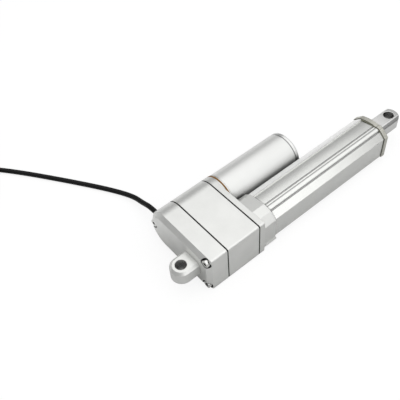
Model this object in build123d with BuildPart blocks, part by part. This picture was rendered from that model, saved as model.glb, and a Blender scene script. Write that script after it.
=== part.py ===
from build123d import *
from math import acos, cos, pi, radians, sin, tan
import os

# Electric linear actuator, drawn with its rod fully in. The rear eye is the origin, the rod
# runs along +X, the motor lies beside it on the +Y side, and both eye bores run along Z.
# All lengths are in millimetres.

# Stroke and end fittings
STROKE = 150.0
EYE_BORE = 10.0
EYE_WIDTH = 19.5
EYE_THICK = 16.0
EYE_BEVEL = 2.4
LUG_ROOT = 0.5  # how far the rear lug runs into the cover
EYE_REACH = 23.5  # front cap to the rod's eye with the rod in
FLAT_REACH = 21.5  # rod's eye back to where its flats begin
ROD_BEVEL = 1.0

# Housing: rear cover, gearbox body and front flange, bolted end to end
HOUSING_HEIGHT = 40.0
NEAR_SIDE = 21.5  # rod axis to the flat side
NEAR_CORNER = 2.0
LEAST_CORNER = 0.5
WALL = 2.8
REAR_FACE = 11.5
COVER_LENGTH = 19.9
COVER_BEVEL = 3.8
COVER_FLOOR = 4.5
WEB = 3.5
BODY_LENGTH = 33.3
FLANGE_THICK = 5.3
SEAL_THICK = 1.2
SEAL_RECESS = 0.15

# Gear train: motor pinion, idler wheel and pinion, screw gear
PRESSURE = radians(25)
ADDENDUM = 1.0
DEDENDUM = 1.25
BACKLASH = 0.1  # taken off each tooth's thickness
FAST_MODULE = 0.8
MOTOR_TEETH = 12
WHEEL_TEETH = 33
SLOW_MODULE = 1.0
IDLER_TEETH = 12
SCREW_TEETH = 30
AXLE = 5.0
AXLE_SEATS = (2.5, 2.0)  # axle's depth in the cover's floor, and web left before its front end
AXLE_BOSS = 9.0
BUSH_BOSS = 13.0
FAST_FACE = 6.2
SLOW_FACE = 8.0
SIDE_GAP = 0.8  # between neighbouring gears, and gears and castings

# Ball bearings of the screw, two alike
BEARING_OUTER = 22.0
BEARING_BORE = 8.0
BEARING_WIDTH = 7.0
BEARING_RIM = 2.2
RING_RECESS = 2.0
RING_GAP = 1.0  # recess round the inner ring's shoulder
BEARING_LIP = 0.5  # cover's floor to the rear bearing
BEARING_SET = 0.2  # web's rear face to the front bearing
WEB_LIP = 1.5  # web in front of the front bearing
RACE_INNER = 12.0  # shoulder of the inner ring
RACE_OUTER = 18.2  # shoulder of the outer ring
BALL_PITCH = 15.1
BALL = 3.9
BALL_COUNT = 7
BALL_GAP = 0.02
CAGE = (16.2, 14.0, 5.2)  # outer and inner diameters, and width

# Screw, nut and rod
SCREW = 11.8  # over the thread's mean
SCREW_BORE = 12.0  # nut's bore on the thread
SPACER = 11.0
HUB = 1.0  # gear to the rear bearing
SCREW_BEVEL = 1.5
JOURNAL_PROUD = 0.6  # journal behind its retaining ring
SCREW_SPARE = 2.5  # screw in front of the nut with the rod out
BORE_SPARE = 3.5  # rod's bore in front of the screw
RETAINER = (12.0, 1.1)
NUT_LENGTH = 18.0
NUT = 24.4
NUT_GAP = 3.0  # web to nut with the rod in
NUT_SPARE = 1.0  # nut to the guide bush with the rod out
KEY_WIDTH = 5.4
KEY_REACH = 13.4  # rod axis to the foot of the nut's key
ROD = 20.0
ROD_BORE = 14.0
ROD_SEAT = 8.0
NUT_PIN = (2.5, 4.8)  # diameter and length
RUNNING = 0.1  # clearance on radius of shafts and of the rod
SEAT = 0.05  # clearance on radius of what is pressed or screwed in
SLIDING = 0.3  # clearance on radius of the nut

# Outer tube, an extrusion with a sloping top, a rounded rib between two grooves, and a hollow band
TUBE_WIDTH = 36.0
TUBE_HEIGHT = 30.0
SHOULDER = 7.5  # height of the upper corners above the rod axis
TOP_HALF = 12.0
TOP_EDGE = 13.0
RIB = 3.3
RIB_PLACE = (-8.1, 11.6)
GROOVE = 0.8
GROOVE_PLACES = ((-11.7, 13.15), (-4.3, 14.75))
BAND = ((-3.6, 14.6), (3.2, 13.9), (9.6, 12.7))
TUBE_BORE = 25.0
KEYWAY = 6.0
KEYWAY_REACH = 13.7
SWITCH_BAY = (6.2, 13.0, -13.2, -7.5)  # low and high Y, low and high Z of the bay beside the bore
PORT_ROWS = ((3.4, 6.0), (3.0, -5.9))  # screw ports: distance from the tube's sides, and height

# Collar of the front flange, and the front cap
COLLAR_LENGTH = 15.0
COLLAR_WALL = 1.2
COLLAR_SEAT = 1.0  # how far the tube stands in the flange plate
COLLAR_RIDGE = (-4.4, 16.7)
COLLAR_NEAR = (-12.7, 14.9)
COLLAR_FAR = (13.2, 13.8)
COLLAR_SHOULDER = 8.4
LIP = (0.7, 1.5)  # how far the collar's foot stands out, and its thickness
LIP_DROP = 1.2  # collar's foot to the lip's foot
SOCKET_GAP = 0.1
GASKET_THICK = 0.7
CAP_THICK = 4.3
CAP_PROUD = 0.8
CAP_GAP = 0.2  # cap's bore round the rod
BUSH_LENGTH = 5.5
WIPER = 26.0
WIPER_DEPTH = 2.4
WIPER_PROUD = 0.8
PORT_SCREW = 12.0  # length of the screws in the tube's ports

# Motor
MOTOR_GAP = 1.6  # motor to the outer tube
PAD_MARGIN = 0.2
PAD_HEIGHT = 1.8
BASE_RING = 1.0
MOTOR_LENGTH = 76.2
MOTOR_WALL = 1.5
MOTOR_PLATE = 2.0
MOTOR_SCREW_INSET = 6.9  # can's face to the axes of its screws
NOSE = 15.2
NOSE_LENGTH = 4.2
SHAFT_PROUD = 0.8
MOTOR_BUSH = (8.0, 5.0)
SHAFT_BUSH = (9.0, 6.0)
BRUSH_PLATE = 0.6
MOTOR_CAP = 3.6
MOTOR_CAP_ROUND = 1.2
SHAFT = 4.0
MAGNET_THICK = 4.2
MAGNET_POLES = 2
MAGNET_ARC = 130.0
MAGNET_PROUD = 2.0  # magnets past the core at both ends
AIR_GAP = 1.0
ROTOR_SLOTS = 7
SLOT_RIM = 1.7  # core's rim outside the slots
SLOT_MOUTH = 2.0
CORE_HUB = 3.4  # core between the shaft and the slots
END_TURNS = 6.0
WINDING_GAP = 6.8  # can's plate to the end turns
COMMUTATOR_GAP = 2.4  # commutator to the brush carrier
COMMUTATOR = (11.0, 9.0)
RISER = (13.4, 1.0)  # commutator's flange at the windings
BRUSH = (5.0, 6.0, 8.0)  # width, length along the shaft, and height
HOLDER_WALL = 1.5
BRUSH_CARRIER = 5.0
SLIT = (0.8, 0.4)  # depth and width of the commutator's slits

# Limit switches
BOARD = (6.0, 1.4)  # width and thickness of the circuit board
SWITCH_BODY = (12.0, 4.4, 2.0)  # length, width and height
SWITCH_INSET = 5.0  # board's end to the switch
SWITCH_SHIFT = 0.6

# Fasteners
HOUSING_SCREW = 4.0
HOUSING_HEAD = (7.0, 3.8)
HEAD_POCKET = 9.4
HEAD_DEPTH = 4.2
HEAD_WALL = 0.9  # casting round the pockets
HEAD_FLOOR = 2.5  # casting under the heads
HEX = 0.75  # key size as a share of the screw's diameter
SCREW_CORNER = (5.0, 5.0)  # from the housing's near side and top to the near screws
FAR_INSET = 5.0  # from the housing's far end to the far screw
COLUMN = 7.2
SMALL_SCREW = 3.0
SMALL_HEAD = (5.4, 2.4)
SCREW_END = 0.5  # flange left between the long screws and the tube

# Cord and its grommet, on the housing's far end
CORD = 4.8
CORD_GAP = 0.3
BEND_SHARE = 0.45  # share of its shorter run that a bend may take up
EXIT_X = 23.7
EXIT_Z = -8.0
GROMMET_NECK = 8.0
GROMMET_HEAD = (10.4, 2.5)
GROMMET_NOSE = (7.6, 6.0, 6.5)  # root and tip diameters, and length
GROMMET_INSIDE = 4.6  # how far the neck reaches in from its seat
GROMMET_SINK = 0.4
COIL_RADIUS = 27.0
COIL_COLUMNS = 2.3
COIL_ROWS = 2
COIL_BEVEL = 1.4
TIE = (4.0, 0.8)  # width and thickness
LEAD = 1.5
LEAD_APART = 0.9  # middle of the cord to each bare core
LEAD_START = 144.0  # degrees round the coil from the cord's entry to the bare cores
LEAD_TURN = 40.0
LEAD_SPARE = 4.0
LEAD_HIGH = 1.3  # middle of the bare cores over the turn below
TIE_TURN = 100.0  # degrees round the coil to its tie
COIL_TURNS = 4.4

# Places along the rod axis, from the rear face forward
COVER_INNER = REAR_FACE + COVER_FLOOR
COVER_FRONT = REAR_FACE + COVER_LENGTH
BODY_REAR = COVER_FRONT + SEAL_THICK
BODY_FRONT = BODY_REAR + BODY_LENGTH
FLANGE_REAR = BODY_FRONT + SEAL_THICK
FLANGE_FRONT = FLANGE_REAR + FLANGE_THICK
TUBE_REAR = FLANGE_FRONT - COLLAR_SEAT
REAR_BEARING = COVER_INNER + BEARING_LIP
SLOW_REAR = REAR_BEARING + BEARING_WIDTH + HUB
SLOW_FRONT = SLOW_REAR + SLOW_FACE
FAST_REAR = SLOW_FRONT + SIDE_GAP
FAST_FRONT = FAST_REAR + FAST_FACE
WEB_REAR = FAST_FRONT + SIDE_GAP
FRONT_BEARING = WEB_REAR + BEARING_SET
BEARING_FRONT = FRONT_BEARING + BEARING_WIDTH
WEB_FRONT = BEARING_FRONT + WEB_LIP
AXLE_REAR = COVER_INNER - AXLE_SEATS[0]
AXLE_FRONT = WEB_FRONT - AXLE_SEATS[1]
NUT_REAR = WEB_FRONT + NUT_GAP
NUT_FRONT = NUT_REAR + NUT_LENGTH
ROD_REAR = NUT_FRONT - ROD_SEAT
TUBE_FRONT = NUT_FRONT + STROKE + NUT_SPARE + BUSH_LENGTH
CAP_REAR = TUBE_FRONT + GASKET_THICK
CAP_FRONT = CAP_REAR + CAP_THICK
ROD_EYE = CAP_FRONT + EYE_REACH
SCREW_FRONT = NUT_FRONT + STROKE + SCREW_SPARE
BORE_FRONT = SCREW_FRONT + BORE_SPARE
PAD_FRONT = FLANGE_FRONT + PAD_HEIGHT
CAN_REAR = PAD_FRONT + BASE_RING
CAN_FRONT = CAN_REAR + MOTOR_LENGTH
MOTOR_CAP_REAR = CAN_FRONT + BRUSH_PLATE

# Places across the rod axis
HALF = HOUSING_HEIGHT / 2
FLOOR = -HALF
IDLER_Y = SLOW_MODULE * (IDLER_TEETH + SCREW_TEETH) / 2
MOTOR_Y = IDLER_Y + FAST_MODULE * (MOTOR_TEETH + WHEEL_TEETH) / 2
PORT_PLACES = [(side * (TUBE_WIDTH / 2 - inset), height) for inset, height in PORT_ROWS for side in (-1, 1)]
NEAR_SCREW_Y = -NEAR_SIDE + SCREW_CORNER[0]
NEAR_SCREW_Z = HALF - SCREW_CORNER[1]
FAR_SCREW_Y = MOTOR_Y + HALF - FAR_INSET
HOUSING_SCREWS = (
    (NEAR_SCREW_Y, NEAR_SCREW_Z),
    (NEAR_SCREW_Y, -NEAR_SCREW_Z),
    (FAR_SCREW_Y, 0.0),
)
MOTOR = 2 * (MOTOR_Y - TUBE_WIDTH / 2 - MOTOR_GAP)
MOTOR_PAD = MOTOR + 2 * PAD_MARGIN
MOTOR_SCREW_Z = MOTOR / 2 - MOTOR_SCREW_INSET
MOTOR_SCREWS = ((MOTOR_Y, MOTOR_SCREW_Z), (MOTOR_Y, -MOTOR_SCREW_Z))
FAR_WALL = MOTOR_Y + (HALF**2 - EXIT_Z**2) ** 0.5  # housing's far face at the cord's height
GROMMET_SEAT = FAR_WALL - GROMMET_SINK
GROMMET_END = GROMMET_SEAT + GROMMET_HEAD[1] + GROMMET_NOSE[2]
HEAD_SEAT = REAR_FACE + HEAD_DEPTH
JOURNAL_REAR = REAR_BEARING - RETAINER[1] - JOURNAL_PROUD
PIN_X = ROD_REAR + ROD_SEAT / 2
HEAD_REAR = HEAD_SEAT - HOUSING_HEAD[1]
SCREW_TIP = TUBE_REAR - SCREW_END
CAN_BORE = MOTOR - 2 * MOTOR_WALL
NOSE_REAR = CAN_REAR - NOSE_LENGTH
MAGNET_BORE = CAN_BORE - 2 * MAGNET_THICK
ROTOR = MAGNET_BORE - 2 * AIR_GAP
SLOT = ROTOR / 2 - SLOT_RIM - SHAFT / 2 - CORE_HUB
SLOT_CIRCLE = SHAFT + 2 * CORE_HUB + SLOT
COMMUTATOR_REAR = CAN_FRONT - BRUSH_CARRIER - COMMUTATOR_GAP - COMMUTATOR[1]
RISER_REAR = COMMUTATOR_REAR - RISER[1]
CORE_REAR = CAN_REAR + MOTOR_PLATE + WINDING_GAP + END_TURNS
CORE_FRONT = RISER_REAR - END_TURNS
MAGNET_REAR = CORE_REAR - MAGNET_PROUD
MAGNET_FRONT = CORE_FRONT + MAGNET_PROUD
BRUSH_REAR = COMMUTATOR_REAR + (COMMUTATOR[1] - BRUSH[1]) / 2
HOLDER_FOOT = RISER[0] / 2 + HOLDER_WALL / 2
BOARD_REAR = NUT_REAR - HOLDER_WALL
BOARD_FRONT = TUBE_FRONT - BUSH_LENGTH - HOLDER_WALL
BOARD_Y = (SWITCH_BAY[0] + SWITCH_BAY[1]) / 2

# Route of the cord from its grommet down to the floor and away, then on into its coil
CORD_REST = FLOOR + CORD / 2
CORD_ROUTE = [
    (EXIT_X, GROMMET_END, EXIT_Z),
    (EXIT_X, 76.9, EXIT_Z),
    (26.0, 91.0, CORD_REST),
    (25.6, 108.5, CORD_REST),
    (10.5, 132.0, CORD_REST),
    (-14.0, 167.0, CORD_REST),
    (-45.0, 209.5, CORD_REST),
    (-74.8, 246.9, CORD_REST),
]
COIL_WIDE = COIL_COLUMNS * CORD
COIL_HIGH = COIL_ROWS * CORD
COIL_FLOOR = FLOOR + TIE[1] + RUNNING


def across(x, y=0.0, z=0.0):
    """Plane across the rod: its own x is the part's Y, its own y is Z, and it looks along +X."""
    return Plane(origin=(x, y, z), x_dir=(0, 1, 0), z_dir=(1, 0, 0))


def save(piece, name):
    """Label a finished piece and write it under its own name."""
    piece.part.label = name
    export_step(piece.part, f"parts/{name}.step")


def outward(x, y, z):
    """Plane that looks along +Y, away from the rod towards the motor's side."""
    return Plane(origin=(x, y, z), x_dir=(1, 0, 0), z_dir=(0, 1, 0))


def disc(plane, diameter, length, mode=Mode.ADD):
    """Round bar or hole that starts on a plane."""
    with BuildSketch(plane) as section:
        Circle(diameter / 2)
    extrude(section.sketch, amount=length, mode=mode)


def housing_outline(inset=0.0, mode=Mode.ADD):
    """Outline of the castings: flat near side, full round about the motor axis."""
    half = HALF - inset
    near = -NEAR_SIDE + inset
    with BuildLine() as outline:
        FilletPolyline(
            (MOTOR_Y, half),
            (near, half),
            (near, -half),
            (MOTOR_Y, -half),
            radius=max(NEAR_CORNER - inset / 2, LEAST_CORNER),
        )
        ThreePointArc((MOTOR_Y, -half), (MOTOR_Y + half, 0), (MOTOR_Y, half))
    make_face(outline.line, mode=mode)


def columns(rear, front, diameter, mode=Mode.ADD):
    """Bars or holes along the three housing screws."""
    with BuildSketch(across(rear)) as section:
        with Locations(*HOUSING_SCREWS):
            Circle(diameter / 2)
    extrude(section.sketch, amount=front - rear, mode=mode)


def plain_tube_outline(grow=0.0):
    """The extrusion's outline with its rib, before grooves and band."""
    side, foot = TUBE_WIDTH / 2, -TUBE_HEIGHT / 2
    with BuildLine() as outline:
        Polyline(
            (-TOP_HALF, TOP_EDGE),
            (-side, SHOULDER),
            (-side, foot),
            (side, foot),
            (side, SHOULDER),
            (TOP_HALF, TOP_EDGE),
        )
        ThreePointArc((TOP_HALF, TOP_EDGE), (0, TUBE_HEIGHT / 2), (-TOP_HALF, TOP_EDGE))
    make_face(outline.line)
    if grow:
        offset(amount=grow, kind=Kind.INTERSECTION, mode=Mode.REPLACE)
    with Locations(RIB_PLACE):
        Circle(RIB + grow)


def bore_outline(grow=0.0):
    """Bore of the extrusion: round for nut and rod, with the key's slot and the switch bay."""
    low_y, high_y, low_z, high_z = SWITCH_BAY
    Circle(TUBE_BORE / 2 + grow)
    with Locations((0, -KEYWAY_REACH / 2)):
        Rectangle(KEYWAY + 2 * grow, KEYWAY_REACH)
    with Locations(((low_y + high_y) / 2, (low_z + high_z) / 2)):
        Rectangle(high_y - low_y, high_z - low_z)


def collar_outline():
    """Outline of the collar: bright slope on the near half, long gentle slope on the far half."""
    side = TUBE_WIDTH / 2 + COLLAR_WALL
    foot = -TUBE_HEIGHT / 2 - COLLAR_WALL
    with BuildLine() as outline:
        Polyline(
            (-side, foot),
            (side, foot),
            (side, COLLAR_SHOULDER),
            COLLAR_FAR,
            COLLAR_RIDGE,
            COLLAR_NEAR,
            (-side, COLLAR_SHOULDER),
            close=True,
        )
    make_face(outline.line)


def polar(radius, angle):
    """Point at a radius and an angle, measured from the part's +Y towards +Z."""
    return radius * cos(angle), radius * sin(angle)


def gear_outline(teeth, module, first_tooth):
    """Spur gear outline. Flanks are arcs through three points of the true involute."""
    pitch = module * teeth / 2
    base = pitch * cos(PRESSURE)
    tip = pitch + ADDENDUM * module
    root = pitch - DEDENDUM * module
    start = max(base, root)
    half = pi / (2 * teeth) - BACKLASH / (2 * pitch) + tan(PRESSURE) - PRESSURE

    def half_angle(radius):
        roll = acos(min(base / radius, 1.0))
        return half - tan(roll) + roll

    middle = (start + tip) / 2
    foot_angle = half_angle(start)
    step = 2 * pi / teeth
    with BuildLine() as outline:
        for tooth in range(teeth):
            centre = first_tooth + tooth * step
            for side in (-1, 1):
                foot = polar(start, centre + side * foot_angle)
                if root < start:
                    Line(polar(root, centre + side * foot_angle), foot)
                ThreePointArc(
                    foot,
                    polar(middle, centre + side * half_angle(middle)),
                    polar(tip, centre + side * half_angle(tip)),
                )
            Line(polar(tip, centre - half_angle(tip)), polar(tip, centre + half_angle(tip)))
            Line(
                polar(min(root, start), centre + foot_angle),
                polar(min(root, start), centre + step - foot_angle),
            )
    make_face(outline.line)


def gear(plane, teeth, module, face, bore, first_tooth=0.0):
    """Solid spur gear with a bore, starting on a plane."""
    with BuildSketch(plane) as section:
        gear_outline(teeth, module, first_tooth)
        Circle(bore / 2, mode=Mode.SUBTRACT)
    extrude(section.sketch, amount=face)


def eye_outline(centre_x, root_x):
    """Lug outline in plan: round about the bore, straight back to the root."""
    half = EYE_WIDTH / 2
    with BuildLine() as outline:
        ThreePointArc((centre_x, half), (centre_x - half, 0), (centre_x, -half))
        Polyline((centre_x, -half), (root_x, -half), (root_x, half), (centre_x, half))
    make_face(outline.line)


def socket_screw(x, y, z, diameter, head, length):
    """Socket-head screw: the head's rear face is at x, and the shank runs forward from under it."""
    disc(across(x, y, z), head[0], head[1])
    disc(across(x + head[1], y, z), diameter, length)
    with BuildSketch(across(x, y, z)) as section:
        RegularPolygon(diameter * HEX / 2, 6, major_radius=False)
    extrude(section.sketch, amount=head[1] / 2, mode=Mode.SUBTRACT)


def front_screw(x, y, z, diameter, head, length):
    """Socket-head screw that goes in from the front: the head's front face is at x."""
    disc(across(x - head[1], y, z), head[0], head[1])
    disc(across(x - head[1] - length, y, z), diameter, length)
    with BuildSketch(across(x - head[1] / 2, y, z)) as section:
        RegularPolygon(diameter * HEX / 2, 6, major_radius=False)
    extrude(section.sketch, amount=head[1] / 2, mode=Mode.SUBTRACT)


def small_holes(rear, front, places, mode=Mode.SUBTRACT):
    """Clearance holes for small screws."""
    with BuildSketch(across(rear)) as section:
        with Locations(*places):
            Circle(SMALL_SCREW / 2 + SEAT)
    extrude(section.sketch, amount=front - rear, mode=mode)


def tube(plane, outer, inner, length):
    """Plain ring or sleeve that starts on a plane."""
    with BuildSketch(plane) as section:
        Circle(outer / 2)
        Circle(inner / 2, mode=Mode.SUBTRACT)
    extrude(section.sketch, amount=length)


def bend_radii(route):
    """Arc radius at each corner of a cord's route, as large as its two runs allow."""
    points = [Vector(*point) for point in route]
    radii = []
    for before, corner, after in zip(points, points[1:], points[2:]):
        arriving = corner - before
        leaving = after - corner
        turn = radians(arriving.get_angle(leaving))
        radii.append(BEND_SHARE * min(arriving.length, leaving.length) / tan(turn / 2))
    return radii


os.makedirs("parts", exist_ok=True)

# Rear lug, a bevelled eye that is cast on the rear cover
with BuildPart() as rear_lug:
    with BuildSketch(Plane.XY.offset(-EYE_THICK / 2)):
        eye_outline(0, REAR_FACE + LUG_ROOT)
    extrude(amount=EYE_THICK)
    lug_faces = rear_lug.faces().sort_by(Axis.Z)
    lug_rims = lug_faces[0].edges() + lug_faces[-1].edges()
    chamfer(lug_rims.filter_by(lambda rim: rim.center().X < REAR_FACE), EYE_BEVEL)

# Rear cover: bevelled casting with the rear eye, the rear bearing's seat and the screws' pockets
with BuildPart() as rear_cover:
    with BuildSketch(across(REAR_FACE)):
        housing_outline(COVER_BEVEL)
    with BuildSketch(across(REAR_FACE + COVER_BEVEL)):
        housing_outline()
    loft(ruled=True)
    with BuildSketch(across(REAR_FACE + COVER_BEVEL)):
        housing_outline()
    extrude(amount=COVER_LENGTH - COVER_BEVEL)
    with BuildSketch(across(COVER_INNER)):
        housing_outline(WALL)
    extrude(amount=COVER_FRONT - COVER_INNER, mode=Mode.SUBTRACT)
    disc(across(COVER_INNER), BEARING_OUTER + 2 * BEARING_RIM, BEARING_WIDTH)
    disc(across(COVER_INNER, IDLER_Y), AXLE_BOSS, SLOW_REAR - SIDE_GAP - COVER_INNER)
    with BuildSketch(across(COVER_INNER)):
        with Locations(*HOUSING_SCREWS):
            Circle(HEAD_POCKET / 2 + HEAD_WALL)
        housing_outline(WALL / 2, Mode.INTERSECT)
    extrude(amount=HEAD_SEAT + HEAD_FLOOR - COVER_INNER)
    columns(COVER_INNER, COVER_FRONT, COLUMN)
    add(rear_lug.part)
    disc(Plane.XY.offset(-EYE_THICK), EYE_BORE, 2 * EYE_THICK, Mode.SUBTRACT)
    disc(across(REAR_BEARING), BEARING_OUTER + 2 * SEAT, BEARING_WIDTH, Mode.SUBTRACT)
    disc(across(REAR_BEARING - RING_RECESS), RACE_INNER + 2 * RING_GAP, RING_RECESS, Mode.SUBTRACT)
    disc(across(AXLE_REAR, IDLER_Y), AXLE + 2 * SEAT, COVER_LENGTH, Mode.SUBTRACT)
    columns(REAR_FACE, COVER_FRONT, HOUSING_SCREW + 2 * RUNNING, Mode.SUBTRACT)
    columns(REAR_FACE, HEAD_SEAT, HEAD_POCKET, Mode.SUBTRACT)
    disc(outward(EXIT_X, MOTOR_Y, EXIT_Z), GROMMET_NECK + 2 * SEAT, HALF, Mode.SUBTRACT)
    disc(outward(EXIT_X, GROMMET_SEAT, EXIT_Z), GROMMET_HEAD[0] + 2 * SEAT, HALF, Mode.SUBTRACT)
save(rear_cover, "rear_cover")


def seal_ring(x):
    """Flat gasket of a housing joint, cut round the screws and set a little below the castings."""
    with BuildSketch(across(x)) as section:
        housing_outline(SEAL_RECESS)
        housing_outline(WALL, Mode.SUBTRACT)
        with Locations(*HOUSING_SCREWS):
            Circle(COLUMN / 2)
            Circle(HOUSING_SCREW / 2 + RUNNING, mode=Mode.SUBTRACT)
    extrude(section.sketch, amount=SEAL_THICK)


with BuildPart() as rear_seal:
    seal_ring(COVER_FRONT)
save(rear_seal, "rear_seal")

with BuildPart() as front_seal:
    seal_ring(BODY_FRONT)
save(front_seal, "front_seal")

# Gearbox body: open at both ends, with a web that carries the front bearing, axle and shaft bush
with BuildPart() as gearbox_body:
    with BuildSketch(across(BODY_REAR)):
        housing_outline()
        housing_outline(WALL, Mode.SUBTRACT)
    extrude(amount=BODY_LENGTH)
    with BuildSketch(across(WEB_REAR)):
        housing_outline(WALL)
    extrude(amount=WEB)
    disc(across(WEB_REAR), BEARING_OUTER + 2 * BEARING_RIM, WEB_FRONT - WEB_REAR)
    disc(across(WEB_REAR, IDLER_Y), AXLE_BOSS, WEB_FRONT - WEB_REAR)
    disc(across(WEB_REAR, MOTOR_Y), BUSH_BOSS, SHAFT_BUSH[1])
    columns(BODY_REAR, BODY_FRONT, COLUMN)
    columns(BODY_REAR, BODY_FRONT, HOUSING_SCREW + 2 * RUNNING, Mode.SUBTRACT)
    disc(across(WEB_REAR), BEARING_OUTER + 2 * SEAT, BEARING_FRONT - WEB_REAR, Mode.SUBTRACT)
    disc(across(WEB_REAR), RACE_OUTER, WEB_FRONT - WEB_REAR, Mode.SUBTRACT)
    disc(across(WEB_REAR, IDLER_Y), AXLE + 2 * SEAT, AXLE_FRONT - WEB_REAR, Mode.SUBTRACT)
    disc(across(WEB_REAR, MOTOR_Y), SHAFT_BUSH[0] + 2 * SEAT, SHAFT_BUSH[1], Mode.SUBTRACT)
save(gearbox_body, "gearbox_body")

# Front flange: closes the gearbox, seats the motor and holds the outer tube in its collar
with BuildPart() as front_flange:
    with BuildSketch(across(FLANGE_REAR)):
        housing_outline()
    extrude(amount=FLANGE_THICK)
    disc(across(FLANGE_FRONT, MOTOR_Y), MOTOR_PAD, PAD_HEIGHT)
    with BuildSketch(across(FLANGE_FRONT)):
        collar_outline()
    extrude(amount=COLLAR_LENGTH)
    with BuildSketch(across(FLANGE_FRONT)):
        with Locations((0, -TUBE_HEIGHT / 2 - COLLAR_WALL - LIP_DROP)):
            Rectangle(TUBE_WIDTH + 2 * COLLAR_WALL + 2 * LIP[0], LIP[1], align=(Align.CENTER, Align.MIN))
    extrude(amount=COLLAR_LENGTH + LIP[0])
    with BuildSketch(across(TUBE_REAR)):
        plain_tube_outline(SOCKET_GAP)
    extrude(amount=COLLAR_LENGTH + COLLAR_SEAT + LIP[0], mode=Mode.SUBTRACT)
    with BuildSketch(across(FLANGE_REAR)):
        bore_outline(SLIDING)
    extrude(amount=TUBE_REAR - FLANGE_REAR, mode=Mode.SUBTRACT)
    columns(FLANGE_REAR, SCREW_TIP, HOUSING_SCREW + 2 * SEAT, Mode.SUBTRACT)
    disc(across(FLANGE_REAR, MOTOR_Y), NOSE + 2 * SEAT, PAD_FRONT - FLANGE_REAR, Mode.SUBTRACT)
    small_holes(FLANGE_REAR, PAD_FRONT, MOTOR_SCREWS)
    small_holes(FLANGE_REAR, TUBE_REAR, PORT_PLACES)
save(front_flange, "front_flange")


# Three long screws that clamp cover, body and flange together
with BuildPart() as housing_screws:
    for screw_y, screw_z in HOUSING_SCREWS:
        socket_screw(HEAD_REAR, screw_y, screw_z, HOUSING_SCREW, HOUSING_HEAD, SCREW_TIP - HEAD_SEAT)
save(housing_screws, "housing_screws")

# Outer tube, one extrusion from the collar to the front cap
with BuildPart() as outer_tube:
    with BuildSketch(across(TUBE_REAR)):
        plain_tube_outline()
        with BuildLine():
            ThreePointArc(*BAND)
            Polyline(BAND[2], (BAND[2][0], TUBE_HEIGHT), (BAND[0][0], TUBE_HEIGHT), BAND[0])
        make_face(mode=Mode.SUBTRACT)
        with Locations(*GROOVE_PLACES):
            Circle(GROOVE, mode=Mode.SUBTRACT)
        with Locations(*PORT_PLACES):
            Circle(SMALL_SCREW / 2 + SEAT, mode=Mode.SUBTRACT)
    extrude(amount=TUBE_FRONT - TUBE_REAR)
    with BuildSketch(across(TUBE_REAR)):
        bore_outline()
    extrude(amount=TUBE_FRONT - TUBE_REAR, mode=Mode.SUBTRACT)
save(outer_tube, "outer_tube")

# Four screws from inside the gearbox into the tube's ports
with BuildPart() as tube_screws:
    for screw_y, screw_z in PORT_PLACES:
        socket_screw(
            FLANGE_REAR - SMALL_HEAD[1], screw_y, screw_z, SMALL_SCREW, SMALL_HEAD, PORT_SCREW
        )
save(tube_screws, "tube_screws")

# Gasket between tube and front cap
with BuildPart() as cap_gasket:
    with BuildSketch(across(TUBE_FRONT)):
        plain_tube_outline(-SEAL_RECESS)
        Circle(TUBE_BORE / 2, mode=Mode.SUBTRACT)
    extrude(amount=GASKET_THICK)
    small_holes(TUBE_FRONT, CAP_REAR, PORT_PLACES)
save(cap_gasket, "cap_gasket")

# Front cap: bored for the rod, seated for the wiper, and counterbored for its four screws
with BuildPart() as front_cap:
    with BuildSketch(across(CAP_REAR)):
        plain_tube_outline(CAP_PROUD)
    extrude(amount=CAP_THICK)
    disc(across(CAP_REAR), ROD + 2 * CAP_GAP, CAP_THICK, Mode.SUBTRACT)
    disc(across(CAP_FRONT - WIPER_DEPTH), WIPER + 2 * SEAT, WIPER_DEPTH, Mode.SUBTRACT)
    small_holes(CAP_REAR, CAP_FRONT, PORT_PLACES)
    with BuildSketch(across(CAP_FRONT - SMALL_HEAD[1])):
        with Locations(*PORT_PLACES):
            Circle(SMALL_HEAD[0] / 2 + RUNNING)
    extrude(amount=SMALL_HEAD[1], mode=Mode.SUBTRACT)
save(front_cap, "front_cap")

# Four screws through the cap into the tube's ports
with BuildPart() as cap_screws:
    for screw_y, screw_z in PORT_PLACES:
        front_screw(CAP_FRONT, screw_y, screw_z, SMALL_SCREW, SMALL_HEAD, PORT_SCREW)
save(cap_screws, "cap_screws")

# Soft ring that wipes the rod, a little proud of the cap
with BuildPart() as rod_wiper:
    tube(across(CAP_FRONT - WIPER_DEPTH), WIPER, ROD + 2 * RUNNING, WIPER_DEPTH + WIPER_PROUD)
    lip_rims = rod_wiper.edges().filter_by(GeomType.CIRCLE).filter_by_position(
        Axis.X, CAP_FRONT + WIPER_PROUD - SEAT, CAP_FRONT + WIPER_PROUD + SEAT
    )
    chamfer(lip_rims.sort_by(SortBy.RADIUS)[-1], WIPER_PROUD)
save(rod_wiper, "rod_wiper")

# Plain bush that guides the rod at the front end of the tube
with BuildPart() as rod_guide_bush:
    tube(across(TUBE_FRONT - BUSH_LENGTH), TUBE_BORE - 2 * SEAT, ROD + 2 * RUNNING, BUSH_LENGTH)
save(rod_guide_bush, "rod_guide_bush")


def race(x, outer, inner):
    """Bearing ring with a groove for the balls."""
    tube(across(x), outer, inner, BEARING_WIDTH)
    with BuildSketch(Plane.XY) as groove:
        with Locations((x + BEARING_WIDTH / 2, BALL_PITCH / 2)):
            Circle(BALL / 2 + BALL_GAP)
    revolve(groove.sketch, axis=Axis.X, mode=Mode.SUBTRACT)


# Two ball bearings of the screw
with BuildPart() as bearing_outer_rings:
    for bearing_x in (REAR_BEARING, FRONT_BEARING):
        race(bearing_x, BEARING_OUTER, RACE_OUTER)
save(bearing_outer_rings, "bearing_outer_rings")

with BuildPart() as bearing_inner_rings:
    for bearing_x in (REAR_BEARING, FRONT_BEARING):
        race(bearing_x, RACE_INNER, BEARING_BORE + 2 * SEAT)
save(bearing_inner_rings, "bearing_inner_rings")

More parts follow.
